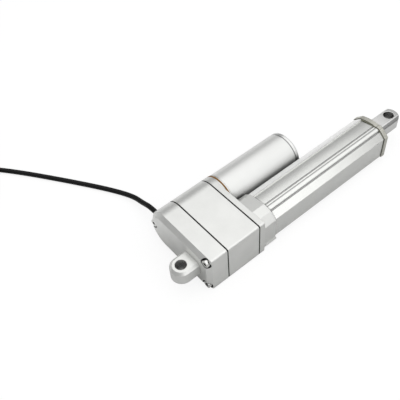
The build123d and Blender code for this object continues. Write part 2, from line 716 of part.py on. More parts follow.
with BuildPart() as bearing_balls:
    for bearing_x in (REAR_BEARING, FRONT_BEARING):
        with Locations(across(bearing_x + BEARING_WIDTH / 2)):
            with PolarLocations(BALL_PITCH / 2, BALL_COUNT):
                Sphere(BALL / 2)
save(bearing_balls, "bearing_balls")

with BuildPart() as bearing_cages:
    for bearing_x in (REAR_BEARING, FRONT_BEARING):
        tube(across(bearing_x + (BEARING_WIDTH - CAGE[2]) / 2), CAGE[0], CAGE[1], CAGE[2])
        with Locations(across(bearing_x + BEARING_WIDTH / 2)):
            with PolarLocations(BALL_PITCH / 2, BALL_COUNT):
                Cylinder(BALL / 2 + SEAT, BALL, rotation=(0, 90, 0), mode=Mode.SUBTRACT)
save(bearing_cages, "bearing_cages")

# Screw: threaded bar with a turned-down journal that holds bearings, gear and spacer
with BuildPart() as lead_screw:
    disc(across(JOURNAL_REAR), BEARING_BORE, BEARING_FRONT - JOURNAL_REAR)
    disc(across(BEARING_FRONT), SCREW, SCREW_FRONT - BEARING_FRONT)
    chamfer(lead_screw.edges().sort_by(Axis.X)[-1], SCREW_BEVEL)
save(lead_screw, "lead_screw")

with BuildPart() as screw_gear:
    gear(across(SLOW_REAR), SCREW_TEETH, SLOW_MODULE, SLOW_FACE, BEARING_BORE + 2 * SEAT)
    tube(across(SLOW_REAR - HUB), SPACER, BEARING_BORE + 2 * SEAT, HUB)
save(screw_gear, "screw_gear")

# Sleeve between the gear and the front bearing
with BuildPart() as screw_spacer:
    tube(across(SLOW_FRONT), SPACER, BEARING_BORE + 2 * SEAT, FRONT_BEARING - SLOW_FRONT)
save(screw_spacer, "screw_spacer")

# Ring that holds the rear bearing on the journal
with BuildPart() as retaining_ring:
    tube(across(REAR_BEARING - RETAINER[1]), RETAINER[0], BEARING_BORE + 2 * SEAT, RETAINER[1])
save(retaining_ring, "retaining_ring")

# Idler: a large wheel driven by the motor and a small pinion that drives the screw's gear
with BuildPart() as idler_axle:
    disc(across(AXLE_REAR, IDLER_Y), AXLE, AXLE_FRONT - AXLE_REAR)
save(idler_axle, "idler_axle")

with BuildPart() as idler_wheel:
    gear(across(FAST_REAR, IDLER_Y), WHEEL_TEETH, FAST_MODULE, FAST_FACE, AXLE + 2 * RUNNING)
save(idler_wheel, "idler_wheel")

with BuildPart() as idler_pinion:
    gear(
        across(SLOW_REAR, IDLER_Y),
        IDLER_TEETH,
        SLOW_MODULE,
        FAST_REAR - SLOW_REAR,
        AXLE + 2 * RUNNING,
        pi / IDLER_TEETH,
    )
save(idler_pinion, "idler_pinion")

# Rod: tube with a closed front end that is flattened and bored as the rod's eye
with BuildPart() as push_rod:
    disc(across(ROD_REAR), ROD, ROD_EYE + EYE_WIDTH / 2 - ROD_REAR)
    disc(across(ROD_REAR), ROD_BORE, BORE_FRONT - ROD_REAR, Mode.SUBTRACT)
    for low in (-EYE_THICK / 2 - ROD, EYE_THICK / 2):
        with BuildSketch(Plane.XY.offset(low)):
            with Locations((ROD_EYE - FLAT_REACH, 0)):
                Rectangle(ROD * 2, ROD * 2, align=(Align.MIN, Align.CENTER))
        extrude(amount=ROD, mode=Mode.SUBTRACT)
    with BuildSketch(Plane.XY.offset(-ROD)):
        with Locations((ROD_EYE, 0)):
            Rectangle(ROD, ROD * 2, align=(Align.MIN, Align.CENTER))
            Circle(EYE_WIDTH / 2, mode=Mode.SUBTRACT)
    extrude(amount=2 * ROD, mode=Mode.SUBTRACT)
    eye_rims = push_rod.edges().filter_by(GeomType.CIRCLE).filter_by(
        lambda rim: abs(abs(rim.center().Z) - EYE_THICK / 2) < SEAT and rim.center().X > ROD_EYE
    )
    chamfer(eye_rims, ROD_BEVEL)
    disc(Plane(origin=(ROD_EYE, 0, -ROD)), EYE_BORE, 2 * ROD, Mode.SUBTRACT)
    disc(outward(PIN_X, -ROD, 0), NUT_PIN[0] + 2 * SEAT, 2 * ROD, Mode.SUBTRACT)
save(push_rod, "push_rod")

# Nut: runs on the screw, carries the rod, and its key stops it from turning
with BuildPart() as drive_nut:
    with BuildSketch(across(NUT_REAR)):
        Circle(NUT / 2)
        Rectangle(KEY_WIDTH, KEY_REACH, align=(Align.CENTER, Align.MAX))
        Circle(SCREW_BORE / 2, mode=Mode.SUBTRACT)
    extrude(amount=NUT_LENGTH)
    disc(across(ROD_REAR), ROD + 2 * SEAT, ROD_SEAT, Mode.SUBTRACT)
    disc(outward(PIN_X, -NUT, 0), NUT_PIN[0] + 2 * SEAT, 2 * NUT, Mode.SUBTRACT)
save(drive_nut, "drive_nut")

# Two pins that hold the rod in the nut
with BuildPart() as nut_pins:
    for pin_y in (-NUT / 2 + SEAT, NUT / 2 - SEAT - NUT_PIN[1]):
        disc(outward(PIN_X, pin_y, 0), NUT_PIN[0], NUT_PIN[1])
save(nut_pins, "nut_pins")

# Motor: base ring, can with its nose, magnets, brush plate and end cap
with BuildPart() as motor_base_ring:
    tube(across(PAD_FRONT, MOTOR_Y), MOTOR_PAD, NOSE + 2 * SEAT, BASE_RING)
    small_holes(PAD_FRONT, CAN_REAR, MOTOR_SCREWS)
save(motor_base_ring, "motor_base_ring")

with BuildPart() as motor_can:
    disc(across(CAN_REAR, MOTOR_Y), MOTOR, MOTOR_LENGTH)
    disc(across(CAN_REAR + MOTOR_PLATE, MOTOR_Y), CAN_BORE, MOTOR_LENGTH, Mode.SUBTRACT)
    disc(across(NOSE_REAR, MOTOR_Y), NOSE, NOSE_LENGTH)
    disc(across(NOSE_REAR, MOTOR_Y), MOTOR_BUSH[0] + 2 * SEAT, NOSE_LENGTH + MOTOR_PLATE, Mode.SUBTRACT)
    small_holes(CAN_REAR, CAN_REAR + MOTOR_PLATE, MOTOR_SCREWS)
save(motor_can, "motor_can")

with BuildPart() as motor_magnets:
    with BuildSketch(across(MAGNET_REAR, MOTOR_Y)):
        for pole in range(MAGNET_POLES):
            start = 360 * pole / MAGNET_POLES - MAGNET_ARC / 2
            with BuildLine():
                outer = CenterArc((0, 0), CAN_BORE / 2 - SEAT, start, MAGNET_ARC)
                inner = CenterArc((0, 0), MAGNET_BORE / 2, start, MAGNET_ARC)
                Line(outer @ 0, inner @ 0)
                Line(outer @ 1, inner @ 1)
            make_face()
    extrude(amount=MAGNET_FRONT - MAGNET_REAR)
save(motor_magnets, "motor_magnets")

with BuildPart() as brush_plate:
    disc(across(CAN_FRONT, MOTOR_Y), MOTOR - 2 * SEAL_RECESS, BRUSH_PLATE)
    disc(across(CAN_FRONT - BRUSH_CARRIER, MOTOR_Y), CAN_BORE - 2 * SEAT, BRUSH_CARRIER)
    with BuildSketch(across(BRUSH_REAR - HOLDER_WALL, MOTOR_Y)):
        for side in (-1, 1):
            with Locations((0, side * (HOLDER_FOOT + BRUSH[2] / 2))):
                Rectangle(BRUSH[0] + 2 * HOLDER_WALL, BRUSH[2])
    extrude(amount=CAN_FRONT - BRUSH_CARRIER - BRUSH_REAR + HOLDER_WALL)
    with BuildSketch(across(BRUSH_REAR - RUNNING, MOTOR_Y)):
        Rectangle(BRUSH[0] + 2 * RUNNING, MOTOR)
    extrude(amount=BRUSH[1] + 2 * RUNNING, mode=Mode.SUBTRACT)
    disc(across(CAN_FRONT - BRUSH_CARRIER, MOTOR_Y), MOTOR_BUSH[0] + 2 * SEAT, BRUSH_CARRIER + BRUSH_PLATE,
         Mode.SUBTRACT)
save(brush_plate, "brush_plate")

with BuildPart() as motor_brushes:
    with BuildSketch(across(BRUSH_REAR, MOTOR_Y)):
        for side in (-1, 1):
            with Locations((0, side * (COMMUTATOR[0] / 2 + RUNNING + BRUSH[2] / 2))):
                Rectangle(BRUSH[0], BRUSH[2])
    extrude(amount=BRUSH[1])
save(motor_brushes, "motor_brushes")

with BuildPart() as motor_end_cap:
    disc(across(MOTOR_CAP_REAR, MOTOR_Y), MOTOR, MOTOR_CAP)
    fillet(motor_end_cap.edges().sort_by(Axis.X)[-1], MOTOR_CAP_ROUND)
    disc(across(MOTOR_CAP_REAR, MOTOR_Y), MOTOR_BUSH[0], 2 * SHAFT_PROUD, Mode.SUBTRACT)
save(motor_end_cap, "motor_end_cap")

with BuildPart() as motor_bushes:
    for bush_x in (NOSE_REAR, MOTOR_CAP_REAR - MOTOR_BUSH[1]):
        tube(across(bush_x, MOTOR_Y), MOTOR_BUSH[0], SHAFT + 2 * RUNNING, MOTOR_BUSH[1])
save(motor_bushes, "motor_bushes")

# Bush in the gearbox web that steadies the shaft beside its pinion
with BuildPart() as shaft_bush:
    tube(across(WEB_REAR, MOTOR_Y), SHAFT_BUSH[0], SHAFT + 2 * RUNNING, SHAFT_BUSH[1])
save(shaft_bush, "shaft_bush")

with BuildPart() as motor_screws:
    for screw_y, screw_z in MOTOR_SCREWS:
        socket_screw(
            FLANGE_REAR - SMALL_HEAD[1],
            screw_y,
            screw_z,
            SMALL_SCREW,
            SMALL_HEAD,
            CAN_REAR + MOTOR_PLATE - FLANGE_REAR,
        )
save(motor_screws, "motor_screws")

# Rotor: shaft, slotted core, windings, commutator and pinion
with BuildPart() as motor_shaft:
    disc(across(FAST_REAR - SHAFT_PROUD, MOTOR_Y), SHAFT, MOTOR_CAP_REAR + 2 * SHAFT_PROUD - FAST_REAR)
save(motor_shaft, "motor_shaft")

with BuildPart() as motor_pinion:
    gear(
        across(FAST_REAR, MOTOR_Y),
        MOTOR_TEETH,
        FAST_MODULE,
        FAST_FACE,
        SHAFT + 2 * SEAT,
        pi / MOTOR_TEETH,
    )
save(motor_pinion, "motor_pinion")

with BuildPart() as rotor_core:
    with BuildSketch(across(CORE_REAR, MOTOR_Y)):
        Circle(ROTOR / 2)
        Circle(SHAFT / 2 + SEAT, mode=Mode.SUBTRACT)
        with PolarLocations(SLOT_CIRCLE / 2, ROTOR_SLOTS):
            Circle(SLOT / 2, mode=Mode.SUBTRACT)
            Rectangle(ROTOR, SLOT_MOUTH, align=(Align.MIN, Align.CENTER), mode=Mode.SUBTRACT)
    extrude(amount=CORE_FRONT - CORE_REAR)
save(rotor_core, "rotor_core")

with BuildPart() as rotor_windings:
    with BuildSketch(across(CORE_REAR, MOTOR_Y)):
        with PolarLocations(SLOT_CIRCLE / 2, ROTOR_SLOTS):
            Circle(SLOT / 2 - RUNNING)
    extrude(amount=CORE_FRONT - CORE_REAR)
    for ring_x in (CORE_REAR - END_TURNS, CORE_FRONT):
        tube(across(ring_x, MOTOR_Y), SLOT_CIRCLE + SLOT, SLOT_CIRCLE - SLOT, END_TURNS)
save(rotor_windings, "rotor_windings")

with BuildPart() as commutator:
    tube(across(RISER_REAR, MOTOR_Y), RISER[0], SHAFT + 2 * SEAT, RISER[1])
    tube(across(COMMUTATOR_REAR, MOTOR_Y), COMMUTATOR[0], SHAFT + 2 * SEAT, COMMUTATOR[1])
    with BuildSketch(across(COMMUTATOR_REAR, MOTOR_Y)):
        with PolarLocations(COMMUTATOR[0] / 2, ROTOR_SLOTS):
            Rectangle(2 * SLIT[0], SLIT[1])
    extrude(amount=COMMUTATOR[1], mode=Mode.SUBTRACT)
save(commutator, "commutator")

# Limit switches at the two ends of a circuit board that lies in the tube's bay
with BuildPart() as limit_switch_board:
    with BuildSketch(across(BOARD_REAR)):
        with Locations((BOARD_Y, SWITCH_BAY[2] + RUNNING)):
            Rectangle(*BOARD, align=(Align.CENTER, Align.MIN))
    extrude(amount=BOARD_FRONT - BOARD_REAR)
save(limit_switch_board, "limit_switch_board")

with BuildPart() as limit_switches:
    for switch_x in (BOARD_REAR + SWITCH_INSET, BOARD_FRONT - SWITCH_INSET - SWITCH_BODY[0]):
        with BuildSketch(across(switch_x)):
            with Locations((BOARD_Y + SWITCH_SHIFT, SWITCH_BAY[2] + RUNNING + BOARD[1])):
                Rectangle(*SWITCH_BODY[1:], align=(Align.CENTER, Align.MIN))
        extrude(amount=SWITCH_BODY[0])
save(limit_switches, "limit_switches")

# Grommet of the cord, snapped into the rear cover
with BuildPart() as cable_grommet:
    with BuildSketch(Plane.XY.offset(EXIT_Z)):
        with BuildLine():
            Polyline(
                (EXIT_X, GROMMET_SEAT - GROMMET_INSIDE),
                (EXIT_X + GROMMET_NECK / 2, GROMMET_SEAT - GROMMET_INSIDE),
                (EXIT_X + GROMMET_NECK / 2, GROMMET_SEAT),
                (EXIT_X + GROMMET_HEAD[0] / 2, GROMMET_SEAT),
                (EXIT_X + GROMMET_HEAD[0] / 2, GROMMET_SEAT + GROMMET_HEAD[1]),
                (EXIT_X + GROMMET_NOSE[0] / 2, GROMMET_SEAT + GROMMET_HEAD[1]),
                (EXIT_X + GROMMET_NOSE[1] / 2, GROMMET_END),
                (EXIT_X, GROMMET_END),
                close=True,
            )
        make_face()
    revolve(axis=Axis((EXIT_X, 0, EXIT_Z), (0, 1, 0)))
save(cable_grommet, "cable_grommet")

# Cord from the grommet to the coil
cord_radii = bend_radii(CORD_ROUTE)
with BuildPart() as cord_run:
    with BuildLine() as cord_line:
        FilletPolyline(*CORD_ROUTE, radius=cord_radii)
    with BuildSketch(Plane(origin=CORD_ROUTE[0], z_dir=cord_line.line % 0)):
        Circle(CORD / 2)
    sweep()
save(cord_run, "cord_run")
print("cord radii", [round(radius, 1) for radius in cord_radii])
run_length = sum(edge.length for edge in cord_line.line.edges())
print("cord run", round(run_length, 1), "volume", round(cord_run.part.volume, 1))
print("section times length", round(run_length * pi * CORD**2 / 4, 1))

# Coil of the rest of the cord: the run enters it as its lowest and widest turn
cord_end = Vector(*CORD_ROUTE[-1])
cord_way = (cord_end - Vector(*CORD_ROUTE[-2])).normalized()
coil_inward = Vector(-cord_way.Y, cord_way.X, 0)
coil_centre = cord_end + coil_inward * (COIL_RADIUS + COIL_WIDE / 2 - CORD / 2)
coil_frame = Plane(origin=(coil_centre.X, coil_centre.Y, COIL_FLOOR), x_dir=-coil_inward)
last_turn = COIL_RADIUS + COIL_WIDE / 2 - CORD
with BuildPart() as cord_coil:
    with BuildSketch(coil_frame):
        Circle(COIL_RADIUS + COIL_WIDE / 2)
        Circle(COIL_RADIUS - COIL_WIDE / 2, mode=Mode.SUBTRACT)
    extrude(amount=COIL_HIGH)
    chamfer(cord_coil.edges(), COIL_BEVEL)
    with BuildSketch(Plane(origin=cord_end, x_dir=-coil_inward, z_dir=-cord_way)):
        Rectangle(COIL_WIDE, CORD + 2 * CORD_GAP)
    extrude(amount=COIL_RADIUS, mode=Mode.SUBTRACT)
    with BuildSketch(coil_frame.offset(COIL_HIGH - CORD)):
        with BuildLine():
            Polyline(
                (0, 0),
                polar(2 * COIL_RADIUS, radians(LEAD_START)),
                polar(2 * COIL_RADIUS, radians(LEAD_START + LEAD_TURN)),
                close=True,
            )
        make_face()
        Circle(last_turn, mode=Mode.SUBTRACT)
    extrude(amount=CORD, mode=Mode.SUBTRACT)
save(cord_coil, "cord_coil")

# Tie round the coil, and the two bare cores at the cord's end
tie_frame = Plane(origin=coil_frame.origin, x_dir=coil_inward.rotate(Axis.Z, TIE_TURN), z_dir=Vector(0, 0, 1))
with BuildPart() as cord_tie:
    tie_plane = Plane(origin=tie_frame.origin, x_dir=tie_frame.x_dir, z_dir=tie_frame.y_dir)
    with BuildSketch(tie_plane):
        for wall, mode in ((TIE[1], Mode.ADD), (0, Mode.SUBTRACT)):
            with Locations((COIL_RADIUS, -COIL_HIGH / 2)):
                Rectangle(COIL_WIDE + 2 * (wall + RUNNING), COIL_HIGH + 2 * (wall + RUNNING), mode=mode)
    extrude(amount=TIE[0] / 2, both=True)
save(cord_tie, "cord_tie")

core_way = coil_inward.rotate(Axis.Z, 180 + LEAD_START)
with BuildPart() as cord_leads:
    with BuildSketch(Plane(origin=coil_frame.origin, x_dir=core_way, z_dir=core_way.rotate(Axis.Z, 90))):
        with Locations((last_turn + CORD / 2, -COIL_HIGH + CORD - LEAD_HIGH)):
            with Locations((-LEAD_APART, 0), (LEAD_APART, 0)):
                Circle(LEAD / 2)
    revolve(axis=Axis((coil_centre.X, coil_centre.Y, 0), (0, 0, 1)), revolution_arc=LEAD_TURN - LEAD_SPARE)
save(cord_leads, "cord_leads")
turns_length = COIL_TURNS * 2 * pi * COIL_RADIUS
print("cord in all", round(run_length + turns_length, 1))
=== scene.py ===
"""Looks of the electric linear actuator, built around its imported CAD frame."""

import math

import bmesh
import bpy
from mathutils import Matrix, Vector


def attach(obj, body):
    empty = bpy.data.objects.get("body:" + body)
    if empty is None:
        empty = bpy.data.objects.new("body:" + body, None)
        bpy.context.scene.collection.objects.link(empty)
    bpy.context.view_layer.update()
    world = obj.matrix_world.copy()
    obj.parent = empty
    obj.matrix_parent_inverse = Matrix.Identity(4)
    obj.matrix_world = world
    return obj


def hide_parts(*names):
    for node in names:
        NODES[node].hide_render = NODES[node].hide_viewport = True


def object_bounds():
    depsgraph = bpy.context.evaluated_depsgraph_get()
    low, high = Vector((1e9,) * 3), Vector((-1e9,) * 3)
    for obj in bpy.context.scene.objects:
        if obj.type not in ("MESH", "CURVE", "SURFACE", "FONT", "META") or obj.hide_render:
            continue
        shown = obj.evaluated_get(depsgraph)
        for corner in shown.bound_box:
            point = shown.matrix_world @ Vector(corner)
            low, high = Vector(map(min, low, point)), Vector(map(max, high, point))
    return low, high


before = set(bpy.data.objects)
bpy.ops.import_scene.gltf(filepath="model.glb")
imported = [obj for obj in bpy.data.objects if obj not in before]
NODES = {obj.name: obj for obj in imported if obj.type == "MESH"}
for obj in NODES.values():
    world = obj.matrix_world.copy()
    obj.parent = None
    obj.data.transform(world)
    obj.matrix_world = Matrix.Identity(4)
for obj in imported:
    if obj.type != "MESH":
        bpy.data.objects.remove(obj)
cad_low, cad_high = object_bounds()
scene = bpy.context.scene
scene.view_settings.view_transform = "Standard"

# Camera, solved from the photograph
SENSOR = 36.0
FOCAL = 54.585
EYE = Vector((-0.13948, -0.23439, 0.41609))
RIGHT = Vector((0.7693, -0.6356, -0.0641))
UP = Vector((0.5234, 0.5696, 0.6337))
BACK = Vector((-0.3662, -0.5211, 0.7709))
NEAREST = 0.01

lens = bpy.data.cameras.new("camera")
lens.sensor_width = SENSOR
lens.lens = FOCAL
lens.clip_start = NEAREST
camera = bpy.data.objects.new("camera", lens)
scene.collection.objects.link(camera)
camera.matrix_world = Matrix.Translation(EYE) @ Matrix((RIGHT, UP, BACK)).transposed().to_4x4()
scene.camera = camera

# Cord, in metres: the route of the source's run, moved a little to follow the photograph, then its coil
CORD = 0.0048
CORD_FACETS = 8
CORD_ROUTE = [
    (0.0237, 0.06593, -0.0080),
    (0.0237, 0.0769, -0.0080),
    (0.0231, 0.0875, -0.0120),
    (0.0223, 0.1045, -0.0160),
    (0.0093, 0.1305, -0.0176),
    (-0.0144, 0.1666, -0.0176),
    (-0.0445, 0.2101, -0.0176),
    (-0.0748, 0.2469, -0.0176),
]
COIL_CENTRE = (-0.0983566, 0.22813)
COIL_ENTRY = 38.5
COIL_END = 1584
TURN_POINTS = 18
OUTER_TURN = 0.02995
INNER_TURN = 0.02388
TOP_TURN = 0.02700
ENTRY_LAYER = -0.0176
LOWER_LAYER = -0.0167
UPPER_LAYER = -0.0119
TOP_LAYER = -0.0082
# Degrees round the coil from the cord's entry, radius of the turn there and its height
COIL_PLAN = [
    (0, OUTER_TURN, ENTRY_LAYER),
    (40, OUTER_TURN, LOWER_LAYER),
    (330, OUTER_TURN, LOWER_LAYER),
    (385, INNER_TURN, LOWER_LAYER),
    (690, INNER_TURN, LOWER_LAYER),
    (745, INNER_TURN, UPPER_LAYER),
    (1050, INNER_TURN, UPPER_LAYER),
    (1100, TOP_TURN, TOP_LAYER),
    (1250, TOP_TURN, TOP_LAYER),
    (1300, OUTER_TURN, UPPER_LAYER),
    (COIL_END, OUTER_TURN, UPPER_LAYER),
]


def coil_place(turned):
    """Point of the coil's spline, so many degrees round from the cord's entry."""
    for (start, radius, height), (end, next_radius, next_height) in zip(COIL_PLAN, COIL_PLAN[1:]):
        if turned <= end:
            share = (turned - start) / (end - start)
            share = share * share * (3 - 2 * share)
            radius += (next_radius - radius) * share
            height += (next_height - height) * share
            break
    # A spline of this order runs inside its points, so they lie a little further out
    step = math.radians(360 / TURN_POINTS)
    radius *= 2 / (1 + math.cos(step / 2))
    angle = math.radians(COIL_ENTRY + turned)
    return (COIL_CENTRE[0] + radius * math.cos(angle), COIL_CENTRE[1] + radius * math.sin(angle), height)


turns = round(COIL_END / 360 * TURN_POINTS)
cord_points = CORD_ROUTE + [coil_place(COIL_END * turn / turns) for turn in range(1, turns + 1)]
cord_curve = bpy.data.curves.new("supply_cord", "CURVE")
cord_curve.dimensions = "3D"
cord_curve.bevel_depth = 1.0
cord_curve.bevel_resolution = CORD_FACETS
cord_curve.use_fill_caps = True
spline = cord_curve.splines.new("NURBS")
spline.points.add(len(cord_points) - 1)
for point, place in zip(spline.points, cord_points):
    point.co = (*place, 1)
    point.radius = CORD / 2
spline.order_u = 3
spline.use_endpoint_u = True
spline.resolution_u = CORD_FACETS
supply_cord = bpy.data.objects.new("supply_cord", cord_curve)
scene.collection.objects.link(supply_cord)
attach(supply_cord, "housing")
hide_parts("cord_run", "cord_coil")

# Values that all surfaces share: noise, softened edges, their wear and painted highlight, and the painted
# shade in crevices
BROAD_DETAIL = 4.0
FINE_DETAIL = 3.0
NOISE_SPAN = (0.3, 0.7)
SAMPLES = 8
EDGE_BEND = (0.995, 0.90)
# How much lighter softened edges get: partly wear, partly a painted highlight
WEAR_AND_SHEEN_LIFT = 0.2
# Colour of the painted shade in crevices, recesses and gaps between parts
PAINTED_SHADE_COLOUR = (0.03, 0.032, 0.03, 1)
BUMP = 0.6
# Values of the tube's far strip, whose slope comes from its shading: its colour is a painted reflection near
# white, it is not metallic, and the painted shade of crevices stops a margin before it
STRIP_PAINTED_REFLECTION = (0.99, 0.99, 0.98, 1)
STRIP_METAL = 0.0
STRIP_MARGIN = 0.002
# Numbers of the Mix node's sockets: its two colours or vectors, and its result
MIX_COLOURS = (6, 7)
MIXED_COLOUR = 2
MIX_VECTORS = (4, 5)
MIXED_VECTOR = 1


def feed(tree, value, socket):
    """Link a socket, or set a fixed value."""
    if isinstance(value, bpy.types.NodeSocket):
        tree.links.new(value, socket)
    else:
        socket.default_value = value


def ranged(tree, source, start, end, first=0.0, last=1.0):
    """Number from a socket, mapped from start..end to first..last."""
    node = tree.nodes.new("ShaderNodeMapRange")
    for name, value in (("From Min", start), ("From Max", end), ("To Min", first), ("To Max", last)):
        node.inputs[name].default_value = value
    tree.links.new(source, node.inputs["Value"])
    return node.outputs["Result"]


def reckoned(tree, operation, first, second, clamp=False):
    """Result of a Math node on a socket and a second socket or a number."""
    node = tree.nodes.new("ShaderNodeMath")
    node.operation = operation
    node.use_clamp = clamp
    tree.links.new(first, node.inputs[0])
    feed(tree, second, node.inputs[1])
    return node.outputs[0]


def blended(tree, factor, first, second, blend="MIX"):
    """Mix of two colours, each of them a socket or a fixed colour."""
    node = tree.nodes.new("ShaderNodeMix")
    node.data_type = "RGBA"
    node.blend_type = blend
    feed(tree, factor, node.inputs[0])
    for value, place in zip((first, second), MIX_COLOURS):
        feed(tree, value, node.inputs[place])
    return node.outputs[MIXED_COLOUR]


def noise(tree, place, scale, detail):
    """Noise texture at a place given by a socket."""
    node = tree.nodes.new("ShaderNodeTexNoise")
    node.inputs["Scale"].default_value = scale
    node.inputs["Detail"].default_value = detail
    tree.links.new(place, node.inputs["Vector"])
    return node.outputs["Fac"]


def painted_strip_mask(tree, place, start):
    """1 where the surface lies beyond start's Y and above its Z, and the surface's own Y."""
    apart = tree.nodes.new("ShaderNodeSeparateXYZ")
    tree.links.new(place, apart.inputs["Vector"])
    beyond = reckoned(tree, "GREATER_THAN", apart.outputs["Y"], start[0])
    above = reckoned(tree, "GREATER_THAN", apart.outputs["Z"], start[1])
    return reckoned(tree, "MULTIPLY", beyond, above), apart.outputs["Y"]


def leaned(tree, normal, lean, there):
    """Surface normal, turned to the object's direction lean where the mask says so."""
    turned = tree.nodes.new("ShaderNodeVectorTransform")
    turned.vector_type = "NORMAL"
    turned.convert_from = "OBJECT"
    turned.convert_to = "WORLD"
    turned.inputs["Vector"].default_value = lean
    mixed = tree.nodes.new("ShaderNodeMix")
    mixed.data_type = "VECTOR"
    tree.links.new(there, mixed.inputs[0])
    for source, place in zip((normal, turned.outputs["Vector"]), MIX_VECTORS):
        tree.links.new(source, mixed.inputs[place])
    return mixed.outputs[MIXED_VECTOR]


def material(name, colour, rough, metallic=0.0, spread=0.05, blotch=60.0, grain=1500.0, depth=0.00002,
             stretch=(1, 1, 1), edge=0.0003, wear_and_sheen=0.12, fleck=0.1, shift=0.04, painted_shade=0.0,
             painted_shade_reach=0.005, painted_shade_ao_span=(0.35, 0.9), specular=0.5, painted_strip=None):
    """Procedural surface: mottled colour, fine grain, uneven gloss, softened edges lightened by wear and a
    painted highlight, painted shade in crevices, and an optional strip painted as a bright reflection.
    """
    made = bpy.data.materials.new(name)
    made.use_nodes = True
    tree = made.node_tree
    nodes, links = tree.nodes, tree.links
    shader = nodes["Principled BSDF"]
    shader.inputs["Metallic"].default_value = metallic
    shader.inputs["Specular IOR Level"].default_value = specular

    place = nodes.new("ShaderNodeTexCoord").outputs["Object"]
    pull = nodes.new("ShaderNodeMapping")
    pull.inputs["Scale"].default_value = stretch
    links.new(place, pull.inputs["Vector"])
    broad = noise(tree, place, blotch, BROAD_DETAIL)
    fine = noise(tree, pull.outputs["Vector"], grain, FINE_DETAIL)

    ramp = nodes.new("ShaderNodeValToRGB")
    low, high = ramp.color_ramp.elements
    low.position, high.position = NOISE_SPAN
    low.color = (*[part * (1 - spread) for part in colour], 1)
    high.color = (*[min(1, part * (1 + spread)) for part in colour], 1)
    links.new(broad, ramp.inputs["Fac"])
    grained = blended(tree, fleck, ramp.outputs["Color"], fine, "OVERLAY")

    soft = nodes.new("ShaderNodeBevel")
    soft.samples = SAMPLES
    soft.inputs["Radius"].default_value = edge
    normal = soft.outputs["Normal"]
    bend = nodes.new("ShaderNodeVectorMath")
    bend.operation = "DOT_PRODUCT"
    links.new(normal, bend.inputs[0])
    links.new(nodes.new("ShaderNodeNewGeometry").outputs["Normal"], bend.inputs[1])
    # Lighter colour on softened edges: partly wear, partly a painted highlight
    rim = ranged(tree, bend.outputs["Value"], *EDGE_BEND, 0.0, wear_and_sheen)
    worn_and_sheen = (*[min(1, WEAR_AND_SHEEN_LIFT + part) for part in colour], 1)
    shade = blended(tree, rim, grained, worn_and_sheen)

    if painted_strip:
        start, lean = painted_strip
        there, across = painted_strip_mask(tree, place, start)
        # Painted reflection: the far strip's colour is lifted to near white
        shade = blended(tree, there, shade, STRIP_PAINTED_REFLECTION)
        normal = leaned(tree, normal, lean, there)
        metal = ranged(tree, there, 0.0, 1.0, metallic, STRIP_METAL)
        links.new(metal, shader.inputs["Metallic"])
    # Painted shade: ambient occlusion darkens the colour in crevices, recesses, holes and gaps between parts
    if painted_shade:
        occlusion = nodes.new("ShaderNodeAmbientOcclusion")
        occlusion.samples = SAMPLES
        occlusion.inputs["Distance"].default_value = painted_shade_reach
        painted_shade_amount = ranged(tree, occlusion.outputs["AO"], *painted_shade_ao_span, painted_shade, 0.0)
        if painted_strip:
            # The painted shade is left off a margin before the far strip
            strip_unshaded = ranged(tree, across, start[0] - STRIP_MARGIN, start[0] - STRIP_MARGIN / 2)
            painted_shade_amount = reckoned(tree, "SUBTRACT", painted_shade_amount, strip_unshaded, clamp=True)
        shade = blended(tree, painted_shade_amount, shade, PAINTED_SHADE_COLOUR)
    links.new(shade, shader.inputs["Base Color"])

    gloss = ranged(tree, fine, *NOISE_SPAN, rough - shift, rough + shift)
    links.new(gloss, shader.inputs["Roughness"])

    bump = nodes.new("ShaderNodeBump")
    bump.inputs["Strength"].default_value = BUMP
    bump.inputs["Distance"].default_value = depth
    links.new(fine, bump.inputs["Height"])
    links.new(normal, bump.inputs["Normal"])
    links.new(bump.outputs["Normal"], shader.inputs["Normal"])
    return made


# What the castings share, and the tube's far strip, painted near white as a painted reflection: the Y and Z
# where it starts, and its direction
CAST = dict(colour=(0.80, 0.805, 0.785), rough=0.38, metallic=0.8, spread=0.03, grain=1300, depth=0.00004,
            edge=0.00045, wear_and_sheen=0.25)
FAR_PAINTED_STRIP = ((0.0100, 0.0), (0, 0.6, 0.8))
